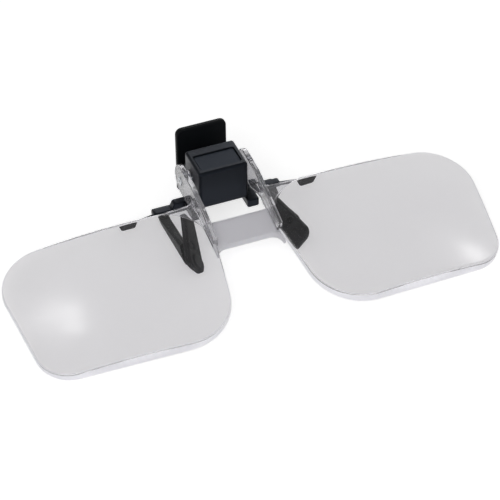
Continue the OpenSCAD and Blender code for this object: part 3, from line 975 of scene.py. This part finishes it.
@dataclass
class HingeBlock:
    """The hollow block: the recess of its cover panel, the bores of its axle and pin, and its two lugs."""

    depth: float = 10.1
    edge_radius: float = 0.7
    corner_radius: float = 0.75
    wall: float = 1.4
    roof: float = 2.2
    cavity_corner: float = 0.4
    cavity_edge: float = 0.2
    panel_width: float = 10.2
    panel_depth: float = 5.6
    panel_inset: float = 1.6
    panel_thickness: float = 0.6
    panel_sink: float = 0.3
    panel_corner: float = 0.5
    panel_edge: float = 0.12
    panel_steps: int = 6
    fit: float = 0.1
    rim_chamfer: float = 0.14
    lug_thickness: float = 1.5
    lug_radius: float = 1.9
    lug_edge: float = 0.2
    axle_fit: float = 0.05
    pin_fit: float = 0.01

    def __post_init__(self) -> None:
        """Reads the block's place and its two axes from the frame."""
        self.low, high = cad_box("hinge_block")
        self.half, self.top, self.back = high.x, high.z, self.low.y + self.depth
        self.axle, self.axle_radius, _ = cad_rod("flip_axle")
        self.pin, self.pin_radius, self.lug_out = cad_rod("jaw_pin")

    def panel_outline(self, fit: float) -> RoundOutline:
        """Gives the outline of the cover panel, or of its recess.

        Args:
            fit: how far it is drawn out.

        Returns:
            The outline.
        """
        half, front = self.panel_width / 2 + fit, self.low.y + self.panel_inset - fit
        back = front + self.panel_depth + 2 * fit
        return rectangle((-half, half), (front, back), self.panel_corner + fit, self.panel_steps)

    def recess(self) -> Mesh:
        """Builds the cutter of the panel's recess, whose rim is chamfered.

        Returns:
            The cutter.
        """
        outline, chamfer, over = self.panel_outline(self.fit), self.rim_chamfer, 0.1
        floor = self.top - self.panel_sink - self.panel_thickness
        steps = [(floor, 0.0), (self.top - chamfer, 0.0), (self.top + over, -chamfer - over)]
        return MeshMaker().loft([[(x, y, z) for x, y in outline.points(inset)] for z, inset in steps]).mesh()

    def lugs(self) -> list[Mesh]:
        """Builds the two lugs that hold the jaw's pin.

        Returns:
            The lugs.
        """
        (_, y, z), root, r = self.pin, self.back - self.wall / 2, self.lug_radius
        outline = [(root, z - r), *arc((y, z), r, -90, 90, 20), (root, z + r)]
        inside = self.lug_out - self.lug_thickness
        spans = ((inside, self.lug_out), (-self.lug_out, -inside))
        return [MeshMaker().prism(outline, *span, self.lug_edge).mesh(SIDE) for span in spans]

    def cavity(self) -> Mesh:
        """Builds the cutter of the hollow, which opens downwards.

        Returns:
            The cutter.
        """
        half, y = self.half - self.wall, (self.low.y + self.wall, self.back - self.wall)
        outline = rectangle((-half, half), y, self.cavity_corner, 8)
        return MeshMaker().slab(outline, self.low.z - 1, self.top - self.roof, self.cavity_edge).mesh()

    def build(self) -> None:
        """Joins the shell and its lugs, cuts it and lays the cover panel in."""
        outline = rectangle((-self.half, self.half), (self.low.y, self.back), self.corner_radius, 8)
        shell = MeshMaker().slab(outline, self.low.z, self.top, self.edge_radius, 6)
        joined = boolean(shell.mesh(), self.lugs(), "UNION")
        reach, radii = self.half + 1, (self.axle_radius + self.axle_fit, self.pin_radius + self.pin_fit)
        circles = [disc((rod.y, rod.z), radius) for rod, radius in zip((self.axle, self.pin), radii)]
        bores = [MeshMaker().prism(circle, -reach, reach).mesh(SIDE) for circle in circles]
        block = boolean(joined, [self.cavity(), self.recess(), *bores], "DIFFERENCE")
        piece("block_shell", block, Body.CLIP, BLACK_ABS, "hinge_block")
        top = self.top - self.panel_sink
        panel = MeshMaker().slab(self.panel_outline(0.0), top - self.panel_thickness, top, self.panel_edge)
        # The cover plate's lighter, bluer black is painted sheen of the block's top face
        piece("cover_plate", panel.mesh(), Body.CLIP, COVER_ABS_PAINTED_SHEEN, "cover_panel", 32)


@dataclass
class FrontBar:
    """The bar under the block, with the plug in the block's hollow, two feet, two wires and rubber tips."""

    bar_front: float = 16.8
    thickness: float = 2.0
    height: float = 3.2
    end_height: float = 1.6
    half_middle: float = 11.7
    half_end: float = 16.4
    slope: Point2 = (0.2, -0.5)
    bar_corners: tuple[float, ...] = (0.5, 0.7, 0.3, 0.8)
    bar_edge: float = 0.22
    foot_inner: float = 5.6
    foot_width: float = 3.0
    foot_height: float = 2.2
    foot_out: float = 1.0
    foot_lap: float = 0.5
    foot_sink: float = 0.2
    foot_corners: Point2 = (0.5, 0.3)
    foot_edge: float = 0.3
    plug_half: float = 4.75
    plug_front: float = 13.9
    plug_back: float = 21.0
    plug_thickness: float = 1.5
    plug_corner: float = 0.4
    plug_edge: float = 0.15
    wire_radius: float = 0.6
    wire_root: Point2 = (0.8, 0.7)
    wire_edge: float = 0.25
    toe: float = 1.4
    prong_x: float = 23.6
    socket: float = -0.4
    socket_fit: float = 0.01
    tip_waist: Point2 = (0.25, 0.7)
    tip_taper: float = 1.15
    tip_corners: Point3 = (0.3, 0.5, 0.7)
    tip_edge: float = 0.28

    def __post_init__(self) -> None:
        """Reads the bar's underside and the block's underside from the frame."""
        self.under = cad_box("front_bar")[0].z
        self.block_low = cad_box("hinge_block")[0]
        lap, back = self.wire_root
        run = self.prong_x - self.half_end + lap
        start = Vector((self.half_end - lap, self.bar_front + back, self.under + self.wire_radius))
        turn = Matrix.Rotation(-math.atan(self.toe / run), 4, "Z")
        self.wire_place = Matrix.Translation(start) @ turn @ Matrix.Rotation(math.radians(90), 4, "Y")
        self.wire_length = run + self.socket

    def wire(self, radius: float) -> Mesh:
        """Builds the right prong's wire, or the cutter of its socket."""
        outline, edge = DiscHull([(0, 0, radius)], 32), min(self.wire_edge, radius / 2)
        return MeshMaker().slab(outline, 0, self.wire_length, edge).mesh(self.wire_place)

    def bar(self) -> Mesh:
        """Builds the bar itself, higher in its middle.

        Returns:
            The bar.
        """
        step, top = self.under + self.end_height, self.under + self.height
        xs = (self.half_end, self.half_end, *(self.half_middle + out for out in self.slope))
        right = [Corner(*values) for values in zip(xs, (self.under, step, step, top), self.bar_corners)]
        outline = RoundOutline([*right, *(Corner(-c.x, c.y, c.radius) for c in right[::-1])], 6)
        back = -self.bar_front - self.thickness
        return MeshMaker().slab(outline, back, -self.bar_front, self.bar_edge).mesh(FRONT)

    def foot(self) -> Mesh:
        """Builds the right foot.

        Returns:
            The foot.
        """
        x = (self.foot_inner, self.foot_inner + self.foot_width)
        y = (self.block_low.y - self.foot_out, self.bar_front + self.foot_lap)
        outline = rectangle(x, y, self.foot_corners[0], 5, self.foot_corners[1])
        top = self.block_low.z - self.foot_sink
        return MeshMaker().slab(outline, top - self.foot_height, top, self.foot_edge).mesh()

    def plug(self) -> Mesh:
        """Builds the plug that fills the mouth of the block's hollow.

        Returns:
            The plug.
        """
        x, y, low = (-self.plug_half, self.plug_half), (self.plug_front, self.plug_back), self.block_low.z
        outline = rectangle(x, y, self.plug_corner, 5)
        return MeshMaker().slab(outline, low, low + self.plug_thickness, self.plug_edge).mesh()

    def tip(self) -> Mesh:
        """Builds the right soft tip, which narrows downwards.

        Returns:
            The tip.
        """
        low, high = cad_box("prong_tip_right")
        spots = ((0.0, high.z), (self.tip_waist[0], high.z - self.tip_waist[1]), (self.tip_taper, low.z))
        left = [Corner(low.x + x, z, radius) for (x, z), radius in zip(spots, self.tip_corners)]
        right = [Corner(low.x + high.x - corner.x, corner.y, corner.radius) for corner in left[::-1]]
        nub = MeshMaker().slab(RoundOutline(left + right, 5), -high.y, -low.y, self.tip_edge)
        return boolean(nub.mesh(FRONT), [self.wire(self.wire_radius + self.socket_fit)], "DIFFERENCE")

    def build(self) -> None:
        """Joins the bar's parts and puts the tips on its wires."""
        foot, wire = self.foot(), self.wire(self.wire_radius)
        joined = boolean(self.bar(), [self.plug(), foot, mirrored(foot), wire, mirrored(wire)], "UNION")
        piece("bar_and_wires", joined, Body.CLIP, BLACK_ABS, "front_bar")
        pair("soft_tip", self.tip(), Body.CLIP, SOFT_RUBBER, "prong_tip")


@dataclass
class PadPlace:
    """The right pad's own place: X out of its outer face, Y back along it and Z up it."""

    spot: Point3 = (12.7, 1.8, 6.0)
    splay: float = 13.6
    drop: float = 16.3
    cant: float = 28.5
    thickness: float = 1.6

    def matrix(self) -> Matrix:
        """Gives the place of an outline of the pad's side view.

        Returns:
            The matrix, in millimetres.
        """
        made = Matrix.Translation(self.spot)
        for degrees, axis in ((self.splay, "Z"), (self.drop, "X"), (self.cant, "Y")):
            made = made @ Matrix.Rotation(math.radians(degrees), 4, axis)
        return made @ SIDE


@dataclass
class Pads:
    """The two soft pads: plates with a round, thicker toe and a hole for their studs."""

    place: PadPlace = field(default_factory=PadPlace)
    length: float = 16.4
    height: float = 6.3
    root_height: float = 3.9
    front_share: float = 0.39
    root_share: float = 0.22
    toe_radii: Point2 = (2.2, 1.7)
    root_radius: float = 1.0
    rounding: float = 0.45
    swell: float = 0.3
    swell_radius: float = 2.2
    swell_edge: float = 0.7
    swell_spots: tuple[Point2, ...] = ((2.25, 2.3), (2.3, 2.9))
    hole_radius: float = 0.95
    dish_radius: float = 1.7
    dish_span: Point2 = (0.35, -0.05)

    def build(self) -> None:
        """Builds the right pad and its mirror image."""
        front = self.front_share * self.length
        back, top, root = self.length - front, self.height / 3, self.root_share * self.root_height
        low, (a, b), c = top - self.height, self.toe_radii, self.root_radius
        discs = [(-front + a, top - a, a), (-front + b, low + b, b)]
        discs += [(back - c, root - c, c), (back - c, root - self.root_height + c, c)]
        lie, thick = self.place.matrix(), self.place.thickness
        plate = MeshMaker().slab(DiscHull(discs, 96), 0, thick, self.rounding, 5).mesh(lie)
        toe_outline = DiscHull([(-front + x, low + y, self.swell_radius) for x, y in self.swell_spots], 64)
        toe = MeshMaker().slab(toe_outline, -self.swell, thick, self.swell_edge, 6).mesh(lie)
        hole = MeshMaker().prism(disc((0, 0), self.hole_radius), -1, thick + 1).mesh(lie)
        rims = zip((self.hole_radius, self.dish_radius), self.dish_span)
        rings = [[(*point, z) for point in disc((0, 0), radius)] for radius, z in rims]
        dish = MeshMaker().loft(rings).mesh(lie)
        pad = boolean(boolean(plate, [toe], "UNION"), [hole, dish], "DIFFERENCE")
        pair("soft_pad", pad, Body.JAW, SOFT_RUBBER, "pad", 40)


@dataclass
class RearJaw:
    """The moving jaw: thumb lever, floor, lugs, wing, two elbowed braces and the studs of the pads."""

    pad: PadPlace = field(default_factory=PadPlace)
    lever_thickness: float = 1.4
    lever_half: float = 6.45
    lever_corners: Point2 = (0.5, 1.6)
    lever_edge: float = 0.4
    floor_half: float = 5.2
    floor_low: float = 2.6
    floor_thickness: float = 1.6
    floor_corner: float = 0.4
    edge: float = 0.25
    wing_front: float = 19.2
    wing_depth: float = 2.2
    lug_inner: float = 1.875
    lug_thickness: float = 1.5
    lug_radius: float = 1.9
    lug_lap: float = 0.3
    lug_edge: float = 0.2
    brace_x: float = 14.5
    brace_width: float = 2.4
    brace_thickness: float = 1.6
    elbow: Point2 = (15.8, 1.5)
    seat_radius: float = 1.3
    seat_thickness: float = 1.2
    seat_spots: tuple[Point3, ...] = ((0, 0, 0), (-3.2, -0.7, 0))
    stud_radius: float = 0.9
    stud_length: float = 1.3
    stud_edge: float = 0.15
    pin_fit: float = 0.05

    def plate(self, half: float, front: float, back: float) -> Mesh:
        """Builds a flat plate of the jaw's floor."""
        outline, low = rectangle((-half, half), (front, back), self.floor_corner, 5), self.floor_low
        return MeshMaker().slab(outline, low, low + self.floor_thickness, self.edge).mesh()

    def lever(self, back: float, top: float) -> Mesh:
        """Builds the thumb lever, with round top corners and a soft edge.

        Args:
            back: its back.
            top: its top.

        Returns:
            The lever.
        """
        low, high = self.lever_corners
        outline = rectangle((-self.lever_half, self.lever_half), (self.floor_low, top), low, 10, high)
        return MeshMaker().slab(outline, -back, -back + self.lever_thickness, self.lever_edge, 5).mesh(FRONT)

    def lug(self, pin: Vector) -> Mesh:
        """Builds the right lug round the pin.

        Args:
            pin: the pin's middle.

        Returns:
            The lug.
        """
        r, root, low = self.lug_radius, self.floor_low + self.lug_lap, self.lug_inner
        outline = [(pin.y - r, root), (pin.y + r, root), *arc((pin.y, pin.z), r, 0, 180, 20)]
        return MeshMaker().prism(outline, low, low + self.lug_thickness, self.lug_edge).mesh(SIDE)

    def brace(self) -> list[Mesh]:
        """Builds the right brace: from the wing down to its elbow, and on to the back of the pad.

        Returns:
            The brace's two stretches and the pad's stud.
        """
        r, half = self.brace_thickness / 2, self.brace_width / 2
        ends = ((self.wing_front + self.wing_depth - r, self.floor_low + r), self.elbow)
        places = [Matrix.Translation((self.brace_x, y, z)) @ SIDE for y, z in ends]
        wing_end, elbow = (Disc(place, r, -half, half, self.edge) for place in places)
        lie, low = self.pad.matrix(), self.pad.thickness
        places = [lie @ Matrix.Translation(spot) for spot in self.seat_spots]
        seats = [Disc(place, self.seat_radius, low, low + self.seat_thickness, self.edge) for place in places]
        outline, top = DiscHull([(0, 0, self.stud_radius)], 40), low + self.seat_thickness / 2
        stud = MeshMaker().slab(outline, low - self.stud_length, top, self.stud_edge).mesh(lie)
        return [MeshMaker().hull(wing_end, elbow).mesh(), MeshMaker().hull(elbow, *seats).mesh(), stud]

    def build(self) -> None:
        """Joins the jaw in one piece and bores its lugs."""
        high, (pin, radius, _) = cad_box("rear_jaw")[1], cad_rod("jaw_pin")
        reach, front = self.brace_x + self.brace_width / 2, self.wing_front
        floor = self.plate(self.floor_half, front, high.y - self.lever_thickness / 2)
        wing = self.plate(reach, front, front + self.wing_depth)
        right = [self.lug(pin), *self.brace()]
        left = [mirrored(mesh) for mesh in right]
        joined = boolean(self.lever(high.y, high.z), [floor, wing, *right, *left], "UNION")
        circle = disc((pin.y, pin.z), radius + self.pin_fit)
        bore = MeshMaker().prism(circle, -self.floor_half, self.floor_half).mesh(SIDE)
        # The jaw's darker black is painted shade of the block over the lever
        piece("thumb_lever_jaw", boolean(joined, [bore], "DIFFERENCE"), Body.JAW, LEVER_ABS_PAINTED_SHADE, "rear_jaw")


@dataclass
class Pins:
    """The flip axle and the jaw's pin: drawn steel with round ends and a small centre mark."""

    end_edge: float = 0.22
    mark_radius: float = 0.3
    mark_depth: float = 0.15
    mark_edge: float = 0.1

    def build(self) -> None:
        """Builds both pins."""
        for name, node, body in (("axle_rod", "flip_axle", Body.LENSES), ("pin_rod", "jaw_pin", Body.CLIP)):
            (_, y, z), radius, half = cad_rod(node)
            rod = MeshMaker().slab(DiscHull([(y, z, radius)], 48), -half, half, self.end_edge).mesh(SIDE)
            marks = []
            for x in (-half, half):
                place, depth = Matrix.Translation((x, y, z)) @ SIDE, self.mark_depth
                mark = Disc(place, self.mark_radius, -depth, depth, self.mark_edge)
                marks.append(MeshMaker().hull(mark).mesh())
            piece(name, boolean(rod, marks, "DIFFERENCE"), body, DRAWN_STEEL, node)


@dataclass
class JawSpring:
    """The torsion spring round the jaw's pin, swept along its path by geometry nodes."""

    wire: float = 0.45
    coil_radius: float = 1.3
    coil_width: float = 2.6
    turns: float = 2.5
    leg: float = 3.8
    steps: int = 36

    def path(self) -> list[Point3]:
        """Gives the wire's path: down the front leg, round the pin and up the back leg.

        Returns:
            The points in millimetres.
        """
        low, high = cad_box("jaw_spring")
        _, y, z = cad_rod("jaw_pin")[0]
        half, top, count = self.coil_width / 2, z + self.leg, round(self.turns * self.steps)
        rounds = enumerate(arc((y, z), self.coil_radius, 180, 180 + 360 * self.turns, count))
        coil = [(self.coil_width * (i / count - 0.5), *point) for i, point in rounds]
        return [(-half, low.y + self.wire / 2, top), *coil, (half, high.y - self.wire / 2, top)]

    def build(self) -> None:
        """Sweeps the wire and leaves it unattached between the clip and the jaw."""
        swept = sweep("spring_wire", self.path(), self.wire / 2, DRAWN_STEEL)
        half = self.coil_width / 2 - self.wire / 2
        twist = (Body.CLIP, Body.JAW, (-half, 0.0, 0.0), (half, 0.0, 0.0))
        piece("spring_wire", swept, twist, DRAWN_STEEL, "jaw_spring", 60)


@dataclass
class BaseScrews:
    """The two screws that hold the plug, set out by geometry nodes."""

    head_radius: float = 1.2
    head_height: float = 0.7
    head_edge: float = 0.3
    shank_radius: float = 0.58
    shank_edge: float = 0.2
    shank_lap: float = 0.2
    slot_half: float = 0.75
    slot_width: float = 0.28
    slot_depth: float = 0.4
    slot_over: float = 0.5
    slot_corner: float = 0.1
    slot_edge: float = 0.05

    def build(self) -> None:
        """Builds one screw with a cross recess and repeats it."""
        low, high = cad_box("base_screws")
        spacing = high.x - low.x - 2 * self.head_radius
        seat, floor = low.z + self.head_height, low.z + self.slot_depth
        lie = Matrix.Translation((0, (low.y + high.y) / 2, 0))
        outlines = [DiscHull([(0, 0, self.head_radius)], 48), DiscHull([(0, 0, self.shank_radius)], 32)]
        head = MeshMaker().slab(outlines[0], low.z, seat, self.head_edge).mesh(lie)
        shank = MeshMaker().slab(outlines[1], seat - self.shank_lap, high.z, self.shank_edge).mesh(lie)
        a, b = self.slot_half, self.slot_width / 2
        slots = []
        for x, y in ((a, b), (b, a)):
            outline = rectangle((-x, x), (-y, y), self.slot_corner, 3)
            slots.append(MeshMaker().slab(outline, low.z - self.slot_over, floor, self.slot_edge).mesh(lie))
        screw = boolean(boolean(head, [shank], "UNION"), slots, "DIFFERENCE")
        both = repeat("screws", screw, (-spacing / 2, 0, 0), (spacing, 0, 0), 2, DRAWN_STEEL)
        piece("plug_screws", both, Body.CLIP, DRAWN_STEEL, "base_screws")


@dataclass(frozen=True)
class Window:
    """A soft bright patch of the surrounding: the way to it, its spread in degrees and its strength."""

    way: Point3
    spread: float
    strength: float


@dataclass
class Studio:
    """The white table, the soft lamp, the surrounding and the camera of the photograph."""

    azimuth: float = -20.99
    elevation: float = 40.31
    roll: float = -0.91
    distance: float = 676.3
    focal_length: float = 205.0
    sensor_width: float = 36.0
    seen_span: Point2 = (0.01, 10.0)
    aim_right: float = 6.22
    aim_up: float = -19.22
    table_size: float = 3.0
    table_colour: str = "#e6e6e6"
    bounces: int = 24
    dim_sky: float = 0.22
    front_sky: float = 0.55
    sky_span: Point2 = (-0.2, 0.9)
    lamp_place: Point3 = (-0.5, -0.7, 0.7)
    lamp_size: float = 0.5
    lamp_power: float = 3.0
    # A broad window overhead with two brighter panes, a small one on the right with one, and a low one behind
    windows: tuple[Window, ...] = (
        Window((-0.088, 0.379, 0.921), 3.4, 2.9),
        Window((-0.044, 0.369, 0.928), 1.5, 3.6),
        Window((-0.055, 0.309, 0.949), 1.5, 5.4),
        Window((0.588, 0.246, 0.77), 4.0, 1.1),
        Window((0.608, 0.229, 0.76), 1.8, 5.0),
        Window((0.25, 0.93, 0.28), 13.0, 4.2),
    )
    # Glow of the table for what looks straight at it, for gloss, and further for what looks through acrylic,
    # whose lower share is painted shade of the lenses on the table
    glows_and_painted_lens_shade: tuple[tuple[str, float], ...] = (
        ("Is Camera Ray", 0.7),
        ("Is Glossy Ray", 0.75),
        ("Is Transmission Ray", -0.25),
        ("Is Diffuse Ray", 0.6),
    )

    def camera(self) -> None:
        """Sets the camera by the block's top front edge, which it looks a little beside."""
        low, high = cad_box("hinge_block")
        edge = Vector((0, low.y, high.z))
        a, e, r = (math.radians(v) for v in (self.azimuth, self.elevation, self.roll))
        back = Vector((math.sin(a) * math.cos(e), -math.cos(a) * math.cos(e), math.sin(e)))
        right = Vector((math.cos(a), math.sin(a), 0))
        up = back.cross(right)
        right, up = right * math.cos(r) + up * math.sin(r), up * math.cos(r) - right * math.sin(r)
        place = edge + right * self.aim_right + up * self.aim_up + back * self.distance
        data = bpy.data.cameras.new("camera")
        data.lens, data.sensor_width = self.focal_length, self.sensor_width
        data.clip_start, data.clip_end = self.seen_span
        made = bpy.data.objects.new("camera", data)
        made.matrix_world = Matrix.Translation(place * MM) @ Matrix((right, up, back)).transposed().to_4x4()
        bpy.context.scene.collection.objects.link(made)
        bpy.context.scene.camera = made

    def table(self) -> None:
        """Lays the white table, which the camera sees as a white ground and the clear parts see greyer, by
        painted shade of the lenses.
        """
        mesh = bpy.data.meshes.new("table")
        s = self.table_size
        mesh.from_pydata([(-s, -s, 0), (s, -s, 0), (s, s, 0), (-s, s, 0)], [], [(0, 1, 2, 3)])
        made = bpy.data.materials.new("white_table")
        tree = empty_tree(made)
        path = add_node(tree, "ShaderNodeLightPath").outputs
        glow: float | Socket = 0.0
        # The share for what looks through acrylic lowers the glow: painted shade of the lenses on the table
        for ray, share in self.glows_and_painted_lens_shade:
            glow = maths(tree, "MULTIPLY_ADD", path[ray], share, glow)
        cloth = add_node(tree, "ShaderNodeBsdfDiffuse", {"Color": linear_colour(self.table_colour)})
        light = add_node(tree, "ShaderNodeEmission", {"Color": (1, 1, 1, 1), "Strength": glow})
        both = add_node(tree, "ShaderNodeAddShader", {0: cloth.outputs[0], 1: light.outputs[0]})
        add_node(tree, "ShaderNodeOutputMaterial", {"Surface": both.outputs[0]})
        mesh.materials.append(made)
        linked(mesh)

    def world(self) -> None:
        """Sets a dim surrounding, brighter in front, with soft windows for the lenses and block to mirror."""
        world = bpy.data.worlds.new("surrounding")
        bpy.context.scene.world = world
        tree = empty_tree(world)
        way = add_node(tree, "ShaderNodeTexCoord").outputs["Generated"]
        low, high = self.sky_span
        span = {"Value": along(tree, way, (0, -1, 0)), "From Min": low, "From Max": high}
        span |= {"To Min": self.dim_sky, "To Max": self.front_sky}
        total = add_node(tree, "ShaderNodeMapRange", span, interpolation_type="SMOOTHSTEP").outputs["Result"]
        # The windows show in gloss alone, and the backs of the lenses don't mirror them a second time
        path = add_node(tree, "ShaderNodeLightPath").outputs
        mirrors = maths(tree, "SUBTRACT", path["Is Glossy Ray"], path["Is Transmission Ray"], clamp=True)
        for window in self.windows:
            spread = 1 / math.radians(window.spread) ** 2
            fall = maths(tree, "MULTIPLY_ADD", along(tree, way, window.way), spread, -spread)
            shown = maths(tree, "MULTIPLY", maths(tree, "EXPONENT", fall), mirrors)
            total = maths(tree, "MULTIPLY_ADD", shown, window.strength, total)
        seen = maths(tree, "MAXIMUM", path["Is Camera Ray"], total)
        back = add_node(tree, "ShaderNodeBackground", {"Color": (1, 1, 1, 1), "Strength": seen})
        add_node(tree, "ShaderNodeOutputWorld", {"Surface": back.outputs[0]})

    def lamp(self) -> None:
        """Hangs the square soft lamp in front, in metres, so that it faces the object."""
        data = bpy.data.lights.new("front", "AREA")
        data.shape, data.size, data.energy = "SQUARE", self.lamp_size, self.lamp_power
        made = bpy.data.objects.new("front", data)
        made.location = self.lamp_place
        made.rotation_euler = (-Vector(self.lamp_place)).to_track_quat("-Z", "Y").to_euler()
        bpy.context.scene.collection.objects.link(made)

    def build(self) -> None:
        """Sets up the whole studio."""
        self.camera()
        self.table()
        self.world()
        self.lamp()
        scene = bpy.context.scene
        scene.view_settings.view_transform = "Standard"
        # In thick acrylic, light is mirrored many times before it comes out
        scene.cycles.max_bounces = self.bounces
        scene.cycles.glossy_bounces = self.bounces
        scene.cycles.transmission_bounces = self.bounces


def dress_cad() -> None:
    """Gives the two pieces that stay hidden in the block their finishes."""
    for node, finish in {"friction_barrel": ACETAL, "leaf_spring": DRAWN_STEEL}.items():
        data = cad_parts[node].data
        data.materials.clear()
        data.materials.append(finish.material())


def main() -> None:
    """Builds the magnifier and its studio in order."""
    logging.basicConfig(level=logging.INFO, format="%(name)s: %(message)s")
    dress_cad()
    for part in (ClearMoulding, HingeBlock, FrontBar, BaseScrews, RearJaw, Pads, Pins, JawSpring):
        part().build()
    Studio().build()


if __name__ == "__main__":
    main()
